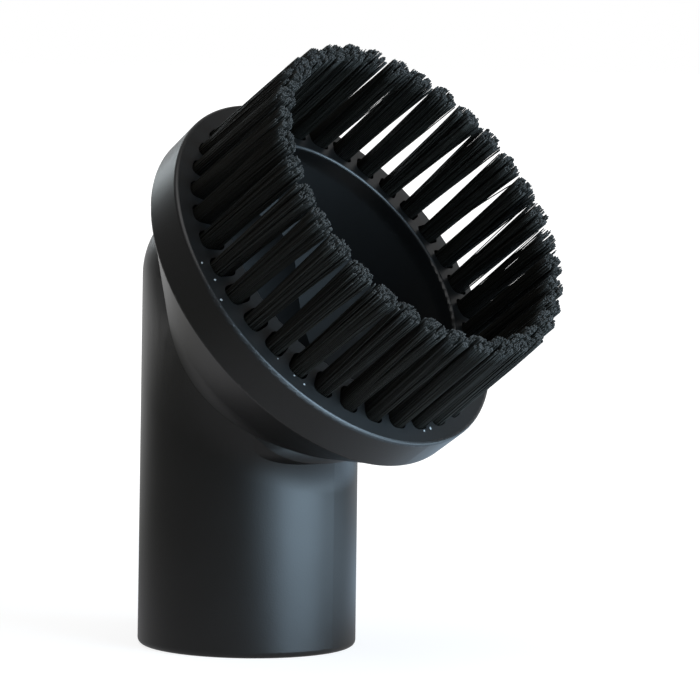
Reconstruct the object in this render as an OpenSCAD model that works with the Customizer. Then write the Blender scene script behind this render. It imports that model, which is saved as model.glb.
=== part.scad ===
// Round dusting brush for a vacuum cleaner tube: a one-piece moulded elbow with a
// ring of bristle tufts. The socket stands on Z = 0 and its axis is +Z. The brush
// ring leans over towards +X.

/* [Socket] */
// Bore that takes the end of the vacuum tube
bore_dia = 32; // [30:0.5:36]
// Depth of the bore, from the open end to the stop
bore_depth = 30; // [20:1:34]
// Outside diameter at the open end
socket_dia = 36.6; // [36.4:0.2:39]
// How much narrower the tube is at the elbow, for draft
socket_draft = 0.3; // [0:0.1:0.4]
// Rounding of the outer edge at the open end
end_round = 1; // [0.4:0.1:1.4]
// Diameter of the air passage above the stop
passage_dia = 30; // [26:0.5:31]

/* [Elbow] */
// Height at which the brush axis crosses the socket axis
bend_height = 50; // [49:0.5:54]
// Lean of the brush axis from the socket axis
head_tilt = 53; // [48:0.5:56]
// Height at which the back of the elbow starts to round over
shoulder_height = 62; // [60:0.5:65]
// Radius of the rounded shoulder
shoulder_round = 14; // [11:0.5:15]
// How much more upright the neck's axis is than the brush axis
neck_upright = 5; // [0:0.5:5]
// Wall of the neck
neck_wall = 3.2; // [2.6:0.1:3.6]
// Height of the flat pad under the neck, where it leaves the tube
pad_height = 32.05; // [31:0.05:32.5]
// Diameter of the pad
pad_dia = 29; // [27:0.5:30]
// How far the pad reaches out of the tube
pad_reach = 3.5; // [3:0.1:4]
// Rounding of the pad's lower edge
pad_round = 3; // [2:0.1:3.5]

/* [Head] */
// Diameter of the rim
rim_dia = 67.4; // [66:0.2:72]
// Distance along the brush axis from the bend to the rim
rim_reach = 22.6; // [22:0.1:25]
// Depth of the rim's side wall
rim_depth = 6.8; // [5:0.1:7.2]
// Rounding behind the side wall
back_round = 0.8; // [0.7:0.1:1]
// How much narrower the side wall is at its back
wall_draft = 0.3; // [0:0.1:0.6]
// Rounding of the rim's front edge
rim_round = 0.7; // [0.3:0.1:1]
// Flat between the pockets and the rim
rim_land = 2.7; // [2.2:0.1:3.2]
// Flat between the pockets and the mouth
mouth_land = 2.2; // [1.8:0.1:3.4]
// How far the face rises from the rim to the mouth
face_rise = 1.5; // [0.8:0.1:2.2]
// Rounding of the mouth's edge
mouth_round = 0.5; // [0.3:0.1:0.8]

/* [Tufts] */
// Number of tufts round the ring
tuft_count = 35; // [30:1:36]
// Angle of the first tuft from the underside
first_tuft = -1.9; // [-5:0.1:5]
// Length of a pocket, from the mouth's side to the rim's side
pocket_long = 4.4; // [3.8:0.1:4.6]
// Width of a pocket, along the ring
pocket_wide = 3.7; // [3.3:0.1:3.8]
// Corner radius of a pocket
pocket_round = 1.3; // [0.8:0.1:1.5]
// Depth of a pocket below the rim's plane
pocket_depth = 7.2; // [6:0.1:7.6]
// Free length of the bristles above the rim's plane
bristle_length = 22.1; // [16:0.1:26]
// Width of a tuft at its tip, along the ring
tip_wide = 4.75; // [4.2:0.05:4.9]
// Thickness of a tuft at its tip, across the ring
tip_thick = 3.7; // [3.2:0.1:4.2]
// Locks of bristles along the longer side of a tuft
tuft_locks = 4; // [3:1:5]
// Gap between a tuft and the wall of its pocket
tuft_gap = 0.15; // [0.1:0.05:0.3]

/* [Anchors] */
// Thickness of the wire anchor that holds a tuft
anchor_thick = 0.4; // [0.3:0.05:0.6]
// Height of the anchor
anchor_high = 1.8; // [1.4:0.1:2.4]
// Height of the anchor's lower edge above the pocket's floor
anchor_lift = 1; // [0.8:0.1:1.4]
// Gap between the anchor and the bristles folded round it
anchor_gap = 0.05; // [0.02:0.01:0.1]

/* [Hidden] */
socket_r = socket_dia / 2;
elbow_r = socket_r - socket_draft / 2;
tube_long = bend_height + shoulder_height + shoulder_round;
pad_r = pad_dia / 2;
rim_r = rim_dia / 2;
tuft_r = rim_r - rim_land - pocket_long / 2;
mouth_r = tuft_r - pocket_long / 2 - mouth_land;
wall_back = rim_reach - rim_depth;
back_r = rim_r - wall_draft;
face_slope = atan(face_rise / (rim_r - mouth_r));
face_top = rim_reach + face_rise;
ring_back = wall_back - back_round;
// The neck ends inside the rounding behind the side wall, past the flat back of the ring
neck_end = ring_back + back_round / 4;
neck_end_r = back_r - 0.45 * back_round;
// Highest point of the neck's end, and the height of its lowest point
neck_high_x = neck_end * sin(head_tilt) - neck_end_r * cos(head_tilt);
neck_low_z = bend_height + neck_end * cos(head_tilt) - neck_end_r * sin(head_tilt);
neck_rise = 2 * neck_end_r * sin(head_tilt);
// The neck is a cone with a level underside, and its back leans by twice its tilt less 90
cone_tilt = head_tilt - neck_upright;
cone_angle = 90 - cone_tilt;
cone_x = neck_high_x - neck_rise * tan(2 * cone_tilt - 90);
cone_long = rim_dia * 1.3;
pocket_floor = rim_reach - pocket_depth;
tuft_step = 360 / tuft_count;
root_long = pocket_long - 2 * tuft_gap;
root_wide = pocket_wide - 2 * tuft_gap;
// Where the straight root of a tuft starts to fan out
fan_start = rim_reach + 0.2;
skin = 0.02;
round_fn = 128;
flute_fn = 48;
flute_deep = 0.1;

function tuft_name(i) = str("tuft_", i < 10 ? "0" : "", i);
function tuft_angle(i) = first_tuft + (i - 1) * tuft_step;

// Places its children in the head's own frame: Z along the brush axis, X to the underside
module in_head() {
    translate([0, 0, bend_height]) rotate([0, head_tilt, 0]) children();
}

// Places its children at one tuft: X outwards across the ring, Y along the ring
module at_tuft(i) {
    in_head() rotate([0, 0, tuft_angle(i)]) translate([tuft_r, 0, 0]) children();
}

// Outside of the upright tube, with its rounded open end and rounded shoulder. It stops
// inside the ring, so that no size lets it stand out of the mouth.
module tube_outside() {
    intersection() {
        tube_turned();
        in_head() translate([0, 0, wall_back - tube_long])
            cylinder(r = tube_long, h = tube_long, $fn = round_fn);
    }
}

// The tube before it is cut off inside the ring
module tube_turned() {
    rotate_extrude($fn = round_fn) {
        polygon([
            [0, 0], [socket_r - end_round, 0], [socket_r, end_round],
            [elbow_r, shoulder_height], [elbow_r - shoulder_round, shoulder_height + shoulder_round],
            [0, shoulder_height + shoulder_round]
        ]);
        translate([socket_r - end_round, end_round]) circle(r = end_round, $fn = 48);
        intersection() {
            translate([elbow_r - shoulder_round, shoulder_height]) circle(r = shoulder_round, $fn = 128);
            translate([0, shoulder_height]) square([elbow_r, shoulder_round]);
        }
    }
}

// Cone of the neck, with its wall pared off by an inset
module neck_cone(inset) {
    translate([cone_x, 0, neck_low_z]) rotate([0, cone_tilt, 0])
        translate([0, 0, inset / sin(cone_angle)])
            cylinder(r1 = 0, r2 = cone_long * tan(cone_angle), h = cone_long, $fn = round_fn);
}

// Outside of the neck, from the tube to the back of the ring
module neck_outside() {
    intersection() {
        neck_cone(0);
        in_head() translate([0, 0, neck_end - rim_dia]) cylinder(r = rim_r, h = rim_dia, $fn = round_fn);
    }
}

// Flat round pad that gives the neck its level underside at the tube
module neck_pad() {
    translate([elbow_r + pad_reach - pad_r, 0, pad_height])
        rotate_extrude($fn = round_fn) {
            square([pad_r - pad_round, 2 * pad_round]);
            translate([0, pad_round]) square([pad_r, pad_round]);
            translate([pad_r - pad_round, pad_round]) circle(r = pad_round, $fn = 96);
        }
}

// Air passage above the stop, rounded over under the shoulder
module passage() {
    passage_r = passage_dia / 2;
    inner_round = shoulder_round - (elbow_r - passage_r);
    rotate_extrude($fn = round_fn) {
        translate([0, bore_depth - 1]) square([passage_r, shoulder_height - bore_depth + 1]);
        translate([0, shoulder_height - skin]) square([passage_r - inner_round, inner_round + skin]);
        intersection() {
            translate([passage_r - inner_round, shoulder_height]) circle(r = inner_round, $fn = 96);
            translate([0, shoulder_height - skin]) square([passage_r, inner_round + skin]);
        }
    }
}

// Half section of the disc that the ring is cut from, with its rounded edges
module ring_section() {
    polygon([
        [0, ring_back], [back_r - back_round, ring_back], [back_r, wall_back],
        [rim_r, rim_reach - rim_round], [rim_r - rim_round, rim_reach],
        [mouth_r, face_top], [0, face_top]
    ]);
    translate([back_r - back_round, wall_back]) circle(r = back_round, $fn = 48);
    translate([rim_r - rim_round, rim_reach - rim_round]) circle(r = rim_round, $fn = 48);
}

// Half section of the mouth, which leaves a rounded edge where it meets the face
module mouth_section() {
    edge_z = face_top - mouth_round * (1 + tan(face_slope));
    difference() {
        translate([0, -bend_height]) square([mouth_r + mouth_round, bend_height + face_top + mouth_round]);
        translate([mouth_r + mouth_round, edge_z]) circle(r = mouth_round, $fn = 48);
        translate([mouth_r, -bend_height - 1]) square([2 * mouth_round, edge_z + bend_height + 1]);
    }
}

// Space inside the neck: the mouth, narrowed by the neck's wall towards the passage
module neck_inside() {
    intersection() {
        neck_cone(neck_wall);
        in_head() rotate_extrude($fn = round_fn) mouth_section();
    }
}

// Outline of a pocket, or of the root of a tuft
module rounded_slot(long, wide, corner) {
    square([long - 2 * corner, wide], center = true);
    square([long, wide - 2 * corner], center = true);
    for (x = [-1, 1], y = [-1, 1])
        translate([x * (long / 2 - corner), y * (wide / 2 - corner)]) circle(r = corner, $fn = 32);
}

// One blind pocket, open at the face
module pocket() {
    translate([0, 0, pocket_floor])
        linear_extrude(pocket_depth + 2 * face_rise) rounded_slot(pocket_long, pocket_wide, pocket_round);
}

// The one-piece moulding: socket, elbow, neck and ring
module body() {
    color([0.09, 0.10, 0.11])
    difference() {
        union() {
            tube_outside();
            neck_outside();
            neck_pad();
            in_head() rotate_extrude($fn = round_fn) ring_section();
        }
        translate([0, 0, -1]) cylinder(d = bore_dia, h = bore_depth + 1, $fn = round_fn);
        passage();
        neck_inside();
        for (i = [1:tuft_count]) at_tuft(i) pocket();
    }
}

// Outline of a tuft: a slot whose edge is fluted by its locks of bristles
module tuft_outline(long, wide) {
    function flute(a) = 1 - flute_deep * (1 + cos(a * 2 * tuft_locks)) / 2;
    function slot_r(a) = 1 / pow(pow(abs(cos(a)) * 2 / long, 4) + pow(abs(sin(a)) * 2 / wide, 4), 1 / 4);
    polygon([for (k = [0:flute_fn - 1]) let (a = (k + 0.5) * 360 / flute_fn)
        slot_r(a) * flute(a) * [cos(a), sin(a)]]);
}

// One tuft: a straight root folded round its anchor, and bristles that fan along the ring
module tuft(i) {
    color([0.07, 0.07, 0.07])
    at_tuft(i) {
        difference() {
            translate([0, 0, pocket_floor + tuft_gap])
                linear_extrude(fan_start - pocket_floor - tuft_gap)
                    rounded_slot(root_long, root_wide, pocket_round - tuft_gap);
            translate([0, 0, pocket_floor + anchor_lift + anchor_high / 2])
                cube([anchor_thick + 2 * anchor_gap, pocket_wide, anchor_high + 2 * anchor_gap], center = true);
        }
        translate([0, 0, fan_start])
            linear_extrude(bristle_length - 0.2, scale = [tip_thick / root_long, tip_wide / root_wide], slices = 1)
                tuft_outline(root_long, root_wide);
    }
}

// The flat wire anchors, one across the foot of each pocket
module anchors() {
    color("silver")
    for (i = [1:tuft_count]) at_tuft(i)
        translate([0, 0, pocket_floor + anchor_lift + anchor_high / 2])
            cube([anchor_thick, pocket_wide, anchor_high], center = true);
}

body();
anchors();
for (i = [1:tuft_count])
    tuft(i);
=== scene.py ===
"""Dresses the vacuum brush head: its satin moulding, its bristles and the studio round it.

Lengths are in metres, in the part's own frame. The open end of the tube stands on the floor
at the origin, +Z runs up the tube, and the ring of bristles leans over towards +X.
"""

from __future__ import annotations

import logging
import math
import random
from dataclasses import dataclass
from enum import Enum
from typing import Iterator, Optional, Sequence, Union

import bmesh
import bpy
from mathutils import Matrix, Vector

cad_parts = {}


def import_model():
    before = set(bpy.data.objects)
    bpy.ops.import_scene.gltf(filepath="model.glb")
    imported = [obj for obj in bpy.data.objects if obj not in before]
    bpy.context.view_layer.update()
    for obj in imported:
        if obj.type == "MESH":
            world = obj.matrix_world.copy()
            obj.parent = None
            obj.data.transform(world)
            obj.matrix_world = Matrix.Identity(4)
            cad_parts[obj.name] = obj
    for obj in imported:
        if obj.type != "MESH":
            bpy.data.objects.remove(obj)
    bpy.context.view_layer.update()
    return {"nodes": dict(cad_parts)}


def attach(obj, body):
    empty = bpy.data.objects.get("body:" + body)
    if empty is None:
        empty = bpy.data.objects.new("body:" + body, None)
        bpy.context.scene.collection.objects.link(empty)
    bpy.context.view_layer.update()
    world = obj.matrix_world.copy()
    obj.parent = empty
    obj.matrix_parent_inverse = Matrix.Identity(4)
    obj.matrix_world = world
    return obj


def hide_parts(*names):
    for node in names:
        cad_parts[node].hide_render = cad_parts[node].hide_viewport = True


LOG = logging.getLogger("vacuum_brush_head")
MM = 0.001
BODY = "root"
ORIGIN = Vector((0.0, 0.0, 0.0))
UPWARDS = Vector((0.0, 0.0, 1.0))
NOISE_MEAN = 0.5
SEED_STEP = 1000
# Degrees from -Y towards +X, of the place that the photograph was taken from.
PHOTO_AZIMUTH = 38.968
# Distance between the rows of a triangular pattern whose points lie 1 apart.
ROW_STEP = math.sin(math.radians(60.0))
# The head's axis crosses the tube's at this height, and leans from it by this angle.
BEND_HEIGHT = 50.0 * MM
HEAD_TILT = math.radians(53.0)
# Height of the ring's front face over that crossing, along the head's axis.
FACE_HEIGHT = 22.8 * MM


class Slot(Enum):
    """Material slots of the part's record."""

    MOULDING = "moulding"
    BRISTLE = "bristle"
    ANCHOR_WIRE = "anchor_wire"


class Signal:
    """A shader socket that adds Math nodes where it is used in an expression."""

    def __init__(self, graph: ShaderGraph, socket: bpy.types.NodeSocket) -> None:
        """Wraps one output socket of a graph."""
        self.graph = graph
        self.socket = socket

    def _math(self, operation: str, *operands: Operand) -> Signal:
        """Adds one Math node.

        Args:
            operation: The node's operation.
            operands: Its values or signals, in order.

        Returns:
            The node's result.
        """
        inputs = dict(enumerate(operands))
        made = self.graph.node("ShaderNodeMath", {"operation": operation}, inputs)
        return Signal(self.graph, made.outputs[0])

    def __add__(self, other: Operand) -> Signal:
        """Sum of this signal and another."""
        return self._math("ADD", self, other)

    def __radd__(self, other: Operand) -> Signal:
        """Sum of a number and this signal."""
        return self._math("ADD", other, self)

    def __sub__(self, other: Operand) -> Signal:
        """This signal less another."""
        return self._math("SUBTRACT", self, other)

    def __rsub__(self, other: Operand) -> Signal:
        """A number less this signal."""
        return self._math("SUBTRACT", other, self)

    def __mul__(self, other: Operand) -> Signal:
        """Product of this signal and another."""
        return self._math("MULTIPLY", self, other)

    def __rmul__(self, other: Operand) -> Signal:
        """Product of a number and this signal."""
        return self._math("MULTIPLY", other, self)

    def power(self, exponent: Operand) -> Signal:
        """This signal raised to an exponent."""
        return self._math("POWER", self, exponent)

    def absolute(self) -> Signal:
        """This signal without its sign."""
        return self._math("ABSOLUTE", self)

    def larger(self, other: Operand) -> Signal:
        """The larger of this signal and another."""
        return self._math("MAXIMUM", self, other)

    def ramp(self, low: float, high: float) -> Signal:
        """Smooth step of this signal.

        Args:
            low: Where the result is 0.
            high: Where the result is 1. It may lie below low.

        Returns:
            The signal eased from 0 to 1.
        """
        rising = low < high
        ends = (low, high) if rising else (high, low)
        made = self.graph.node(
            "ShaderNodeMapRange",
            {"interpolation_type": "SMOOTHSTEP"},
            {0: self, 1: ends[0], 2: ends[1], 3: 0.0 if rising else 1.0, 4: 1.0 if rising else 0.0},
        )
        return Signal(self.graph, made.outputs[0])


Operand = Union[float, Signal]
Colour = tuple[float, float, float]
Triple = tuple[float, float, float]
Span = tuple[float, float]


class ShaderGraph:
    """The node tree of a material or of the world."""

    def __init__(self, tree: bpy.types.NodeTree) -> None:
        """Empties a tree, ready for new nodes."""
        self.tree = tree
        self.tree.nodes.clear()

    def node(self, kind: str, settings: Optional[dict] = None,
             inputs: Optional[dict] = None) -> bpy.types.Node:
        """Adds a node.

        Args:
            kind: The node's type.
            settings: Its settings by name, which are set first.
            inputs: Values or signals for its sockets, by name or number.

        Returns:
            The new node.
        """
        made = self.tree.nodes.new(kind)
        for name, value in (settings or {}).items():
            setattr(made, name, value)
        for name, value in (inputs or {}).items():
            socket = made.inputs[name]
            if isinstance(value, Signal):
                self.tree.links.new(value.socket, socket)
            elif socket.type == "RGBA" and len(value) == 3:
                socket.default_value = (*value, 1.0)
            else:
                socket.default_value = value
        return made

    def signal(self, kind: str, settings: Optional[dict] = None, inputs: Optional[dict] = None,
               output: Union[int, str] = 0) -> Signal:
        """Adds a node and gives one of its outputs, with the arguments of node()."""
        return Signal(self, self.node(kind, settings, inputs).outputs[output])

    def position(self) -> Signal:
        """Object coordinates, in metres."""
        return self.signal("ShaderNodeTexCoord", output="Object")

    def attribute(self, name: str) -> Signal:
        """A number stored on the mesh's points."""
        return self.signal("ShaderNodeAttribute", {"attribute_name": name}, output="Fac")

    def noise(self, place: Signal, scale: float, detail: float = 2.0, roughness: float = 0.5) -> Signal:
        """Noise between 0 and 1.

        Args:
            place: Coordinates that the noise reads.
            scale: Cells in a metre.
            detail: Octaves added to the first.
            roughness: Strength of each octave beside the one before.

        Returns:
            The noise's value.
        """
        inputs = {"Vector": place, "Scale": scale, "Detail": detail, "Roughness": roughness}
        return self.signal("ShaderNodeTexNoise", inputs=inputs)

    def stretched(self, place: Signal, factors: Triple) -> Signal:
        """Coordinates scaled along each axis."""
        return self.signal("ShaderNodeMapping", inputs={"Vector": place, "Scale": factors})

    def distance(self, place: Signal, point: Vector) -> Signal:
        """Distance of the coordinates from a point."""
        settings = {"operation": "DISTANCE"}
        return self.signal("ShaderNodeVectorMath", settings, {0: place, 1: tuple(point)}, "Value")

    def along(self, place: Signal, heading: Union[Vector, Signal]) -> Signal:
        """How far the coordinates lie along a direction, which may be a signal too."""
        settings = {"operation": "DOT_PRODUCT"}
        second = heading if isinstance(heading, Signal) else tuple(heading)
        return self.signal("ShaderNodeVectorMath", settings, {0: place, 1: second}, "Value")

    def light_paths(self) -> tuple[Signal, Signal]:
        """Tells the kinds of rays apart.

        Returns:
            1 for the camera's own rays, and 1 for rays that come from a glossy or clear surface.
        """
        paths = self.node("ShaderNodeLightPath")
        kinds = ("Is Camera Ray", "Is Glossy Ray", "Is Transmission Ray")
        seen, glossy, through = (Signal(self, paths.outputs[kind]) for kind in kinds)
        return seen, glossy.larger(through)

    def blend(self, share: Operand, first: Union[Colour, Signal],
              second: Union[Colour, Signal]) -> Signal:
        """Mixes two colours.

        Args:
            share: Share of the second colour.
            first: Colour where the share is 0.
            second: Colour where the share is 1.

        Returns:
            The mixed colour.
        """
        made = self.node("ShaderNodeMix", {"data_type": "RGBA"}, {0: share, 6: first, 7: second})
        return Signal(self, made.outputs[2])

    def bump(self, height: Signal, depth: float, strength: float,
             normal: Optional[Signal] = None) -> Signal:
        """Normal bent by a height signal.

        Args:
            height: The signal.
            depth: Metres that a swing of 1 stands for.
            strength: Share of the bending that is kept.
            normal: Normal that is bent, in place of the surface's own.

        Returns:
            The bent normal.
        """
        inputs = {"Height": height, "Distance": depth, "Strength": strength}
        if normal is not None:
            inputs["Normal"] = normal
        return self.signal("ShaderNodeBump", inputs=inputs)

    def finish(self, shader: bpy.types.Node, output: str = "ShaderNodeOutputMaterial") -> None:
        """Connects the last shader to the tree's output."""
        out = self.node(output)
        self.tree.links.new(shader.outputs[0], out.inputs["Surface"])


def new_material(name: str) -> tuple[bpy.types.Material, ShaderGraph]:
    """Makes an empty material.

    Args:
        name: The material's name.

    Returns:
        The material and its graph.
    """
    material = bpy.data.materials.new(name)
    material.use_nodes = True
    return material, ShaderGraph(material.node_tree)


@dataclass(frozen=True)
class Speck:
    """A crumb of dust on the front face of the ring."""

    turn: float
    reach: float
    radius: float


@dataclass(frozen=True)
class MouldingFinish:
    """Satin black plastic with a fine spark-eroded grain."""

    name: str = "satin_black_moulding"
    base: Colour = (0.0026, 0.0025, 0.0023)
    cloud: Colour = (0.0035, 0.0035, 0.0036)
    dust: Colour = (0.33, 0.34, 0.34)
    roughness: float = 0.39
    roughness_swing: float = 0.07
    specular: float = 0.5
    grain_scale: float = 3200.0
    grain_depth: float = 0.02 * MM
    grain_strength: float = 0.5
    swell_scale: float = 110.0
    swell_share: float = 6.0
    cloud_scale: float = 55.0
    cloud_span: Span = (0.35, 0.75)
    cloud_share: float = 0.6
    rub_scale: float = 330.0
    rub_stretch: Triple = (1.0, 1.0, 0.25)
    dust_scale: float = 2500.0
    dust_ragged: float = 0.4
    dust_core: float = 0.4
    crease_width: float = 6.0 * MM
    crease_depth: float = 1.5 * MM
    tube_radius: float = 18.15 * MM
    cone_apex: Triple = (-13.29 * MM, 0.0, 32.76 * MM)
    cone_tilt: float = math.radians(48.0)
    cone_angle: float = math.radians(42.0)
    head_centre: Triple = (0.0, 0.0, BEND_HEIGHT)
    head_tilt: float = HEAD_TILT
    inside_roughness: float = 0.36
    wall_reach: Span = (-3.0 * MM, -12.0 * MM)
    wall_depth: Span = (-8.0 * MM, -2.0 * MM)
    lip_depth: Span = (22.0 * MM, 19.8 * MM)
    crease_fade: Span = (64.0 * MM, 52.0 * MM)
    ring_fade: Span = (16.5 * MM, 14.5 * MM)
    face_height: float = FACE_HEIGHT
    specks: tuple[Speck, ...] = (
        Speck(-96.5, 32.5 * MM, 0.3 * MM), Speck(-90.5, 31.6 * MM, 0.25 * MM),
        Speck(-84.0, 32.7 * MM, 0.35 * MM), Speck(-60.5, 31.0 * MM, 0.25 * MM),
        Speck(-53.5, 31.3 * MM, 0.25 * MM), Speck(-49.5, 31.4 * MM, 0.25 * MM),
        Speck(-1.0, 31.3 * MM, 0.3 * MM), Speck(2.5, 31.0 * MM, 0.35 * MM))

    def build(self) -> bpy.types.Material:
        """Makes the material."""
        material, graph = new_material(self.name)
        place = graph.position()
        cloud = graph.noise(place, self.cloud_scale, detail=3.0)
        rubbed = graph.noise(graph.stretched(place, self.rub_stretch), self.rub_scale)
        colour = graph.blend(cloud.ramp(*self.cloud_span), self.base, self.cloud)
        colour = graph.blend(self._dust(graph, place), colour, self.dust)
        grain = graph.noise(place, self.grain_scale, detail=1.0)
        swell = graph.noise(place, self.swell_scale, detail=1.0)
        height = grain + self.swell_share * swell
        normal = graph.bump(height, self.grain_depth, self.grain_strength, self._crease(graph, place))
        wear = cloud * self.cloud_share + rubbed * (1.0 - self.cloud_share) - NOISE_MEAN
        roughness = self.roughness + self.roughness_swing * wear
        roughness = roughness + self.inside_roughness * self._inside(graph, place)
        shader = graph.node("ShaderNodeBsdfPrincipled", inputs={
            "Base Color": colour, "Roughness": roughness, "Normal": normal,
            "Specular IOR Level": self.specular})
        graph.finish(shader)
        return material

    def _inside(self, graph: ShaderGraph, place: Signal) -> Signal:
        """Mask of the mouth's inner walls, which keep a duller finish than the outside.

        Args:
            graph: The material's graph.
            place: Object coordinates.

        Returns:
            1 where the surface faces the head's axis and 0 where it doesn't.
        """
        axis, centre = tilted(self.head_tilt), Vector(self.head_centre)
        normal = graph.signal("ShaderNodeTexCoord", output="Normal")
        depth = self._depth(graph, place)
        # Way out from the head's axis, as far as it runs along the surface's normal.
        outwards = graph.along(place, normal) - graph.along(normal, centre)
        outwards = outwards - depth * graph.along(normal, axis)
        walls = outwards.ramp(*self.wall_reach) * depth.ramp(*self.wall_depth)
        return walls * depth.ramp(*self.lip_depth)

    def _crease(self, graph: ShaderGraph, place: Signal) -> Signal:
        """Normal that softens the line where the cone of the neck leaves the tube.

        Args:
            graph: The material's graph.
            place: Object coordinates.

        Returns:
            The normal, bent as by a fillet of about crease_width on each side.
        """
        # The distances from the tube's wall and from the cone's are both 0 on the line.
        settings = {"operation": "MULTIPLY"}
        level = graph.signal("ShaderNodeVectorMath", settings, {0: place, 1: (1.0, 1.0, 0.0)})
        from_tube = graph.distance(level, ORIGIN) - self.tube_radius
        axis, apex = tilted(self.cone_tilt), Vector(self.cone_apex)
        from_apex = graph.distance(place, apex)
        along = graph.along(place, axis) - apex.dot(axis)
        aside = (from_apex * from_apex - along * along).larger(0.0).power(0.5)
        from_cone = aside * math.cos(self.cone_angle) - along * math.sin(self.cone_angle)
        apart = from_tube.absolute().larger(from_cone.absolute())
        height = (1.0 - apart * (1.0 / self.crease_width)).larger(0.0).power(2.0)
        below = graph.along(place, UPWARDS).ramp(*self.crease_fade)
        behind = self._depth(graph, place).ramp(*self.ring_fade)
        return graph.bump(height * below * behind, self.crease_depth, 1.0)

    def _depth(self, graph: ShaderGraph, place: Signal) -> Signal:
        """How far a place lies along the head's axis, from where it crosses the tube's."""
        axis = tilted(self.head_tilt)
        return graph.along(place, axis) - Vector(self.head_centre).dot(axis)

    def _dust(self, graph: ShaderGraph, place: Signal) -> Signal:
        """Mask of the specks of dust."""
        mask: Operand = 0.0
        noise = graph.noise(place, self.dust_scale, detail=1.0)
        ragged = (1.0 - self.dust_ragged) + 2.0 * self.dust_ragged * noise
        head = Matrix.Translation(self.head_centre) @ Matrix.Rotation(self.head_tilt, 4, "Y")
        for speck in self.specks:
            turned = head @ Matrix.Rotation(math.radians(speck.turn), 4, "Z")
            middle = turned @ Vector((speck.reach, 0.0, self.face_height))
            core = self.dust_core * speck.radius
            spot = (graph.distance(place, middle) * ragged).ramp(speck.radius, core)
            mask = spot if isinstance(mask, float) else mask.larger(spot)
        return mask


@dataclass(frozen=True)
class BristleFinish:
    """Black nylon bristles with paler cut ends."""

    name: str = "black_nylon_bristle"
    dark: Colour = (0.0078, 0.0074, 0.0058)
    light: Colour = (0.0175, 0.0165, 0.0132)
    cut_end: Colour = (0.075, 0.072, 0.068)
    cut_span: Span = (0.9, 1.0)
    least_cut: float = 0.2
    roughness: float = 0.5
    cut_roughness: float = 0.35
    specular: float = 0.25

    def build(self) -> bpy.types.Material:
        """Makes the material. It reads the tone and tip numbers of each bristle."""
        material, graph = new_material(self.name)
        tone = graph.attribute("tone")
        tip = graph.attribute("tip")
        colour = graph.blend(tone * tone, self.dark, self.light)
        cut = tip.ramp(*self.cut_span) * (self.least_cut + (1.0 - self.least_cut) * tone)
        colour = graph.blend(cut, colour, self.cut_end)
        shader = graph.node("ShaderNodeBsdfPrincipled", inputs={
            "Base Color": colour, "Roughness": self.roughness + self.cut_roughness * tip,
            "Specular IOR Level": self.specular})
        graph.finish(shader)
        return material


@dataclass(frozen=True)
class WireFinish:
    """Drawn steel wire of the tuft anchors."""

    name: str = "drawn_steel_wire"
    base: Colour = (0.55, 0.55, 0.54)
    roughness: float = 0.32
    roughness_swing: float = 0.15
    line_scale: float = 900.0
    line_stretch: Triple = (1.0, 1.0, 6.0)

    def build(self) -> bpy.types.Material:
        """Makes the material."""
        material, graph = new_material(self.name)
        lines = graph.noise(graph.stretched(graph.position(), self.line_stretch), self.line_scale)
        roughness = self.roughness + self.roughness_swing * lines
        shader = graph.node("ShaderNodeBsdfPrincipled", inputs={
            "Base Color": self.base, "Metallic": 1.0, "Roughness": roughness})
        graph.finish(shader)
        return material


@dataclass(frozen=True)
class GlowPatch:
    """A soft patch of light on the floor, which only reflections show.

    It lies round a compass direction, between the cosines in spread. It grows over the
    distances in rise and fades over those in fall.
    """

    colour: Colour
    azimuth: float
    spread: Span
    rise: Span
    fall: Optional[Span] = None

    def share(self, graph: ShaderGraph, heading: Signal, away: Signal) -> Signal:
        """Share of the patch in the floor's glow.

        Args:
            graph: The floor's graph.
            heading: Direction of each place from the origin.
            away: Distance of each place from the origin.

        Returns:
            1 in the middle of the patch and 0 outside it.
        """
        share = graph.along(heading, direction(self.azimuth, 0.0)).ramp(*self.spread)
        share = share * away.ramp(*self.rise)
        return share if self.fall is None else share * away.ramp(*self.fall)


@dataclass(frozen=True)
class FloorFinish:
    """White floor with a faint shadow near the object, and patches of light in reflections."""

    name: str = "pale_floor"
    base: Colour = (0.85, 0.85, 0.85)
    white: Colour = (1.26, 1.26, 1.26)
    white_share: float = 0.65
    shadow_fade: Span = (0.08, 0.3)
    near_glow: Colour = (0.42, 0.42, 0.43)
    far_glow: Colour = (0.2, 0.2, 0.19)
    glow_fade: Span = (0.05, 0.16)
    patches: tuple[GlowPatch, ...] = (
        GlowPatch((1.15, 1.15, 1.15), PHOTO_AZIMUTH + 180.0, (0.35, 1.0), (0.05, 0.5)),
        GlowPatch((1.0, 1.35, 1.7), 135.0, (0.0, 1.0), (0.02, 0.10), (0.22, 0.10)),
        GlowPatch((4.8, 6.4, 7.8), 96.0, (0.5, 1.0), (0.09, 0.13), (0.33, 0.13)))

    def build(self) -> bpy.types.Material:
        """Makes the material."""
        material, graph = new_material(self.name)
        seen, reflected = graph.light_paths()
        place = graph.position()
        away = graph.distance(place, ORIGIN)
        heading = graph.signal("ShaderNodeVectorMath", {"operation": "NORMALIZE"}, {0: place})
        mirrored = graph.blend(away.ramp(*self.glow_fade), self.near_glow, self.far_glow)
        for patch in self.patches:
            mirrored = graph.blend(patch.share(graph, heading, away), mirrored, patch.colour)
        diffuse = graph.signal("ShaderNodeBsdfDiffuse", inputs={"Color": self.base})
        colour = graph.blend(reflected, self.white, mirrored)
        glow = graph.signal("ShaderNodeEmission", inputs={"Color": colour, "Strength": 1.0})
        unshaded = self.white_share + (1.0 - self.white_share) * away.ramp(*self.shadow_fade)
        share = (seen * unshaded).larger(reflected)
        graph.finish(graph.node("ShaderNodeMixShader", inputs={0: share, 1: diffuse, 2: glow}))
        return material


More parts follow.
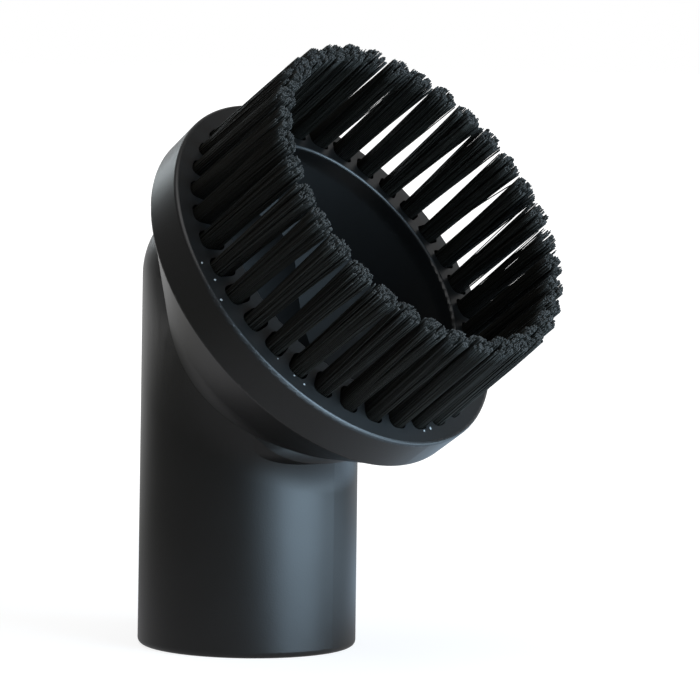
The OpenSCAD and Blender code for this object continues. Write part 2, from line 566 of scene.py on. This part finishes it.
@dataclass
class CadPiece:
    """A piece that keeps the mesh of its CAD node."""

    finish: Union[MouldingFinish, WireFinish]
    node: str
    slot: Slot

    def dress(self, nodes: dict[str, bpy.types.Object]) -> bpy.types.Object:
        """Gives the piece its material.

        Args:
            nodes: The CAD nodes by name.

        Returns:
            The piece's object.
        """
        piece = nodes[self.node]
        put_material(piece, self.finish.build())
        return piece


@dataclass
class Moulding(CadPiece):
    """The one-piece moulded elbow."""

    node: str = "body"
    slot: Slot = Slot.MOULDING


@dataclass
class Anchors(CadPiece):
    """The wire anchors at the feet of the tufts."""

    node: str = "anchors"
    slot: Slot = Slot.ANCHOR_WIRE


@dataclass(frozen=True)
class Bristle:
    """The line of one bristle, in its tuft's frame: X across the ring, Y along it."""

    root: Vector
    tip: Vector
    fan_start: float
    bow: Vector
    curve: float = 0.35

    def point(self, share: float) -> Vector:
        """Point of the centreline.

        Args:
            share: Share of the bristle's height, from 0 at the root to 1 at the tip.

        Returns:
            The point.
        """
        height = self.root.z + (self.tip.z - self.root.z) * share
        fan = max(0.0, (height - self.fan_start) / (self.tip.z - self.fan_start))
        eased = fan * (1.0 - self.curve + self.curve * fan)
        bend = self.bow * math.sin(math.pi * min(1.0, fan)) * fan
        across = self.root.lerp(self.tip, eased) + bend
        return Vector((across.x, across.y, height))


@dataclass
class TuftRing:
    """The ring of tufts: each is a bundle of bristles that fans out along the ring.

    Pairs of sizes run across the ring and along it. Heights lie along the head's axis, over
    the place where it crosses the tube's.
    """

    finish: BristleFinish
    count: int = 35
    bend_height: float = BEND_HEIGHT
    tilt: float = HEAD_TILT
    circle_radius: float = 28.8 * MM
    first_angle: float = math.radians(-1.9)
    root_height: float = 18.4 * MM
    rim_height: float = FACE_HEIGHT
    free_length: float = 22.2 * MM
    root_size: tuple[float, float] = (4.1 * MM, 3.0 * MM)
    tip_size: tuple[float, float] = (3.8 * MM, 5.35 * MM)
    spacing: float = 0.275 * MM
    bristle_radius: float = 0.11 * MM
    sides: int = 4
    wisps: int = 20
    wisp_pull: float = 0.34
    wisp_step: float = 0.15 * MM
    wisp_tone: float = 0.6
    lean: float = 0.16 * MM
    spread: Span = (0.94, 1.04)
    jitter: float = 0.18
    bow: float = 0.1 * MM
    taper: float = 0.92
    scatter: float = 0.07 * MM
    ragged: float = 0.09 * MM
    dome: float = 0.9 * MM
    dome_limit: float = 1.4
    corner_power: int = 4
    roundness: float = 0.95
    stray_share: float = 0.006
    stray_reach: float = 0.8 * MM
    seed: int = 35
    stations: tuple[float, ...] = (0.17, 0.45, 0.7, 0.9)
    tip_share: float = 0.99

    def frame_of(self, index: int) -> Matrix:
        """Placement of one tuft.

        Args:
            index: Number of the tuft, from 0.

        Returns:
            Its frame: X outwards across the ring, Y along the ring, Z along the brush axis.
        """
        head = Matrix.Translation((0.0, 0.0, self.bend_height)) @ Matrix.Rotation(self.tilt, 4, "Y")
        angle = self.first_angle + index * math.tau / self.count
        turned = head @ Matrix.Rotation(angle, 4, "Z")
        return turned @ Matrix.Translation((self.circle_radius, 0.0, 0.0))

    def build(self) -> Iterator[bpy.types.Object]:
        """Makes each tuft's bristles in turn."""
        material = self.finish.build()
        for index in range(self.count):
            name = f"{index + 1:02d}"
            piece = self._tuft(index, f"bristles_{name}")
            put_material(piece, material)
            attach(piece, BODY)
            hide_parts(f"tuft_{name}")
            yield piece

    def _tuft(self, index: int, name: str) -> bpy.types.Object:
        """Makes one tuft.

        Args:
            index: Number of the tuft, from 0.
            name: Name of the piece.

        Returns:
            The piece, with its tone and tip numbers on its points.
        """
        draw = random.Random(self.seed * SEED_STEP + index)
        made = bmesh.new()
        tone = made.verts.layers.float.new("tone")
        tip = made.verts.layers.float.new("tip")
        pattern = self._pattern(made)
        for bristle, shade in self._bristles(draw):
            copy = bmesh.ops.duplicate(made, geom=pattern)["geom"]
            for vert in verts_among(copy):
                share = vert.co.z
                centre = bristle.point(share)
                vert.co = Vector((centre.x + vert.co.x, centre.y + vert.co.y, centre.z))
                vert[tone] = shade
                vert[tip] = 1.0 if share > self.tip_share else 0.0
        bmesh.ops.delete(made, geom=verts_among(pattern), context="VERTS")
        bmesh.ops.transform(made, matrix=self.frame_of(index), verts=made.verts)
        return finished_piece(made, name)

    def _pattern(self, made: bmesh.types.BMesh) -> list:
        """Makes the straight bristle that the others copy.

        Args:
            made: The mesh that it is made in.

        Returns:
            Its vertices, edges and faces. Its height runs from 0 to 1.
        """
        bmesh.ops.create_cone(
            made, cap_ends=True, segments=self.sides, radius1=self.bristle_radius,
            radius2=self.bristle_radius * self.taper, depth=1.0,
            matrix=Matrix.Translation((0.0, 0.0, 0.5)))
        for station in self.stations:
            geom = [*made.verts, *made.edges, *made.faces]
            bmesh.ops.bisect_plane(
                made, geom=geom, plane_co=(0.0, 0.0, station), plane_no=(0.0, 0.0, 1.0))
        return [*made.verts, *made.edges, *made.faces]

    def _bristles(self, draw: random.Random) -> Iterator[tuple[Bristle, float]]:
        """Lays out one tuft's bristles, whose tips gather in wisps.

        Args:
            draw: Source of the tuft's random numbers.

        Yields:
            The line of each bristle and its tone.
        """
        lean = draw.gauss(0.0, self.lean)
        spread = draw.uniform(*self.spread)
        wisps = [self._wisp(draw) for _ in range(self.wisps)]
        for across, along in self._roots(draw):
            place = self._tip_place(across, along * spread)
            wisp, rise, tone = min(wisps, key=lambda each: (each[0] - place).length)
            place += self.wisp_pull * (wisp - place)
            reach = self.stray_reach if draw.random() < self.stray_share else self.scatter
            place += Vector((draw.gauss(0.0, reach), draw.gauss(0.0, reach)))
            edge = (2.0 * place.x / self.tip_size[0]) ** 2 + (2.0 * place.y / self.tip_size[1]) ** 2
            height = self.rim_height + self.free_length - self.dome * edge * min(edge, self.dome_limit)
            height += rise + draw.gauss(0.0, self.ragged)
            bow = Vector((draw.gauss(0.0, self.bow), draw.gauss(0.0, self.bow), 0.0))
            root = Vector((across, along, self.root_height))
            tip = Vector((place.x, place.y + lean, height))
            shade = self.wisp_tone * tone + (1.0 - self.wisp_tone) * draw.random()
            yield Bristle(root, tip, self.rim_height, bow), min(1.0, max(0.0, shade))

    def _wisp(self, draw: random.Random) -> tuple[Vector, float, float]:
        """Draws one wisp: its place among the tips, how far it stands out and its tone."""
        across, along = (draw.uniform(-0.5, 0.5) * size for size in self.tip_size)
        return Vector((across, along)), draw.gauss(0.0, self.wisp_step), draw.random()

    def _tip_place(self, across: float, along: float) -> Vector:
        """Place of a tip before it joins its wisp.

        Args:
            across: Place of its root across the ring.
            along: Place of its root along the ring.

        Returns:
            The tip's place, with the tuft's corners drawn in.
        """
        x, y = 2.0 * across / self.root_size[0], 2.0 * along / self.root_size[1]
        ring = math.hypot(x, y)
        square = (x ** self.corner_power + y ** self.corner_power) ** (1.0 / self.corner_power)
        draw_in = 1.0 + self.roundness * (square / ring - 1.0) if ring > 0.0 else 1.0
        return Vector((x * draw_in * self.tip_size[0] / 2.0, y * draw_in * self.tip_size[1] / 2.0))

    def _roots(self, draw: random.Random) -> Iterator[tuple[float, float]]:
        """Places the roots in the pocket, in staggered rows.

        Args:
            draw: Source of the tuft's random numbers.

        Yields:
            Each root's place across and along the ring.
        """
        half_x = self.root_size[0] / 2.0 - self.bristle_radius
        half_y = self.root_size[1] / 2.0 - self.bristle_radius
        row_step = self.spacing * ROW_STEP
        rows = int(half_x / row_step) + 1
        columns = int(half_y / self.spacing) + 1
        jitter = self.jitter * self.spacing
        for row in range(-rows, rows + 1):
            for column in range(-columns, columns + 1):
                across = row * row_step + draw.uniform(-jitter, jitter)
                along = (column + 0.5 * (row % 2)) * self.spacing + draw.uniform(-jitter, jitter)
                x, y = abs(across / half_x), abs(along / half_y)
                if x ** self.corner_power + y ** self.corner_power <= 1.0:
                    yield across, along


@dataclass(frozen=True)
class Softbox:
    """A soft rectangular lamp that points at the object."""

    name: str
    azimuth: float
    elevation: float
    distance: float
    size: tuple[float, float]
    power: float
    colour: Colour = (1.0, 1.0, 1.0)

    def build(self, target: Vector) -> bpy.types.Object:
        """Makes the lamp.

        Args:
            target: Point that it faces.

        Returns:
            The lamp's object.
        """
        data = bpy.data.lights.new(self.name, "AREA")
        data.shape = "RECTANGLE"
        data.size, data.size_y = self.size
        data.energy = self.power
        data.color = self.colour
        lamp = bpy.data.objects.new(self.name, data)
        bpy.context.scene.collection.objects.link(lamp)
        away = direction(self.azimuth, self.elevation)
        lamp.location = target + away * self.distance
        lamp.rotation_euler = away.to_track_quat("Z", "Y").to_euler()
        return lamp


@dataclass
class Studio:
    """The pale floor, the white backdrop and the lamps."""

    floor: FloorFinish
    softboxes: tuple[Softbox, ...]
    target: Vector
    floor_radius: float = 2.5
    floor_sides: int = 96
    ambient: float = 0.25
    backdrop_glow: float = 0.7
    backdrop_spread: Span = (0.6, 1.0)
    room_glow: float = 0.2

    def build(self) -> None:
        """Makes the floor, the world and the lamps."""
        bpy.context.scene.view_settings.view_transform = "Standard"
        self._floor()
        self._world()
        for softbox in self.softboxes:
            lamp = softbox.build(self.target)
            LOG.info("lamp %s", lamp.name)

    def _floor(self) -> None:
        """Makes the round floor that the brush stands on."""
        made = bmesh.new()
        bmesh.ops.create_circle(
            made, cap_ends=True, segments=self.floor_sides, radius=self.floor_radius)
        floor = finished_piece(made, "floor")
        put_material(floor, self.floor.build())

    def _world(self) -> None:
        """Makes a world that is white to the camera and lights the object softly."""
        world = bpy.data.worlds.new("studio")
        bpy.context.scene.world = world
        world.use_nodes = True
        graph = ShaderGraph(world.node_tree)
        seen, reflected = graph.light_paths()
        heading = graph.signal("ShaderNodeTexCoord", output="Generated")
        backwards = direction(PHOTO_AZIMUTH + 180.0, 0.0)
        backdrop = graph.along(heading, backwards).ramp(*self.backdrop_spread)
        mirrored = self.room_glow + (self.backdrop_glow - self.room_glow) * backdrop
        strength = self.ambient + (mirrored - self.ambient) * reflected
        strength = strength + (1.0 - strength) * seen
        background = graph.node("ShaderNodeBackground", inputs={
            "Color": (1.0, 1.0, 1.0), "Strength": strength})
        graph.finish(background, "ShaderNodeOutputWorld")


@dataclass(frozen=True)
class PhotoCamera:
    """A long lens at the photograph's viewing angle."""

    azimuth: float = PHOTO_AZIMUTH
    elevation: float = 4.546
    distance: float = 900.0 * MM
    aim_height: float = 60.0 * MM
    roll: float = 0.787
    yaw: float = -1.05
    pitch: float = -0.669
    lens: float = 277.14
    sensor: float = 36.0
    clip: Span = (0.05, 50.0)

    def build(self) -> None:
        """Makes the camera and sets it as the scene's own."""
        data = bpy.data.cameras.new("photo_camera")
        data.lens = self.lens
        data.sensor_width = self.sensor
        data.clip_start, data.clip_end = self.clip
        camera = bpy.data.objects.new("photo_camera", data)
        bpy.context.scene.collection.objects.link(camera)
        away = direction(self.azimuth, self.elevation)
        right = UPWARDS.cross(away).normalized()
        upwards = away.cross(right)
        level = Matrix((right, upwards, away)).transposed()
        turned = (level @ Matrix.Rotation(math.radians(self.roll), 3, "Z")
                  @ Matrix.Rotation(math.radians(self.yaw), 3, "Y")
                  @ Matrix.Rotation(math.radians(self.pitch), 3, "X"))
        place = Vector((0.0, 0.0, self.aim_height)) + away * self.distance
        camera.matrix_world = Matrix.Translation(place) @ turned.to_4x4()
        bpy.context.scene.camera = camera


def tilted(angle: float) -> Vector:
    """Unit vector that leans from +Z towards +X by an angle in radians."""
    return Vector((math.sin(angle), 0.0, math.cos(angle)))


def direction(azimuth: float, elevation: float) -> Vector:
    """Unit vector from the object towards a compass direction.

    Args:
        azimuth: Degrees from -Y towards +X.
        elevation: Degrees above the floor.

    Returns:
        The unit vector.
    """
    turn, rise = math.radians(azimuth), math.radians(elevation)
    return Vector((math.sin(turn) * math.cos(rise), -math.cos(turn) * math.cos(rise), math.sin(rise)))


def put_material(piece: bpy.types.Object, material: bpy.types.Material) -> None:
    """Gives a piece one material, in place of any that it has."""
    if piece.material_slots:
        for held in piece.material_slots:
            held.material = material
    else:
        piece.data.materials.append(material)


def verts_among(geom: Sequence) -> list[bmesh.types.BMVert]:
    """The vertices among the parts of a mesh, in their order."""
    return [part for part in geom if isinstance(part, bmesh.types.BMVert)]


def finished_piece(made: bmesh.types.BMesh, name: str) -> bpy.types.Object:
    """Turns a bmesh into a smooth object at the origin.

    Args:
        made: The mesh, which is freed.
        name: Name of the object.

    Returns:
        The object.
    """
    mesh = bpy.data.meshes.new(name)
    made.to_mesh(mesh)
    made.free()
    mesh.shade_smooth()
    piece = bpy.data.objects.new(name, mesh)
    bpy.context.scene.collection.objects.link(piece)
    return piece


def main() -> None:
    """Builds the dressed brush head, its camera and its studio, and logs each piece."""
    logging.basicConfig(level=logging.INFO, format="%(name)s: %(message)s")
    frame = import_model()
    PhotoCamera().build()
    target = Vector((0.0, 0.0, 55.0 * MM))
    softboxes = (
        Softbox("key_softbox", azimuth=95.0, elevation=12.0, distance=0.95, size=(0.8, 0.5),
                power=17.0, colour=(0.58, 0.8, 1.0)),
        Softbox("rim_softbox", azimuth=-109.0, elevation=18.0, distance=1.0, size=(0.2, 0.3),
                power=0.8, colour=(0.86, 0.96, 1.0)),
        Softbox("top_softbox", azimuth=20.0, elevation=75.0, distance=1.1, size=(0.9, 0.9), power=4.5),
    )
    Studio(FloorFinish(), softboxes, target).build()
    for kept in (Moulding(MouldingFinish()), Anchors(WireFinish())):
        piece = kept.dress(frame["nodes"])
        LOG.info("%s in slot %s, %d faces", piece.name, kept.slot.value, len(piece.data.polygons))
    for tuft in TuftRing(BristleFinish()).build():
        LOG.info("%s with %d faces", tuft.name, len(tuft.data.polygons))


if __name__ == "__main__":
    main()
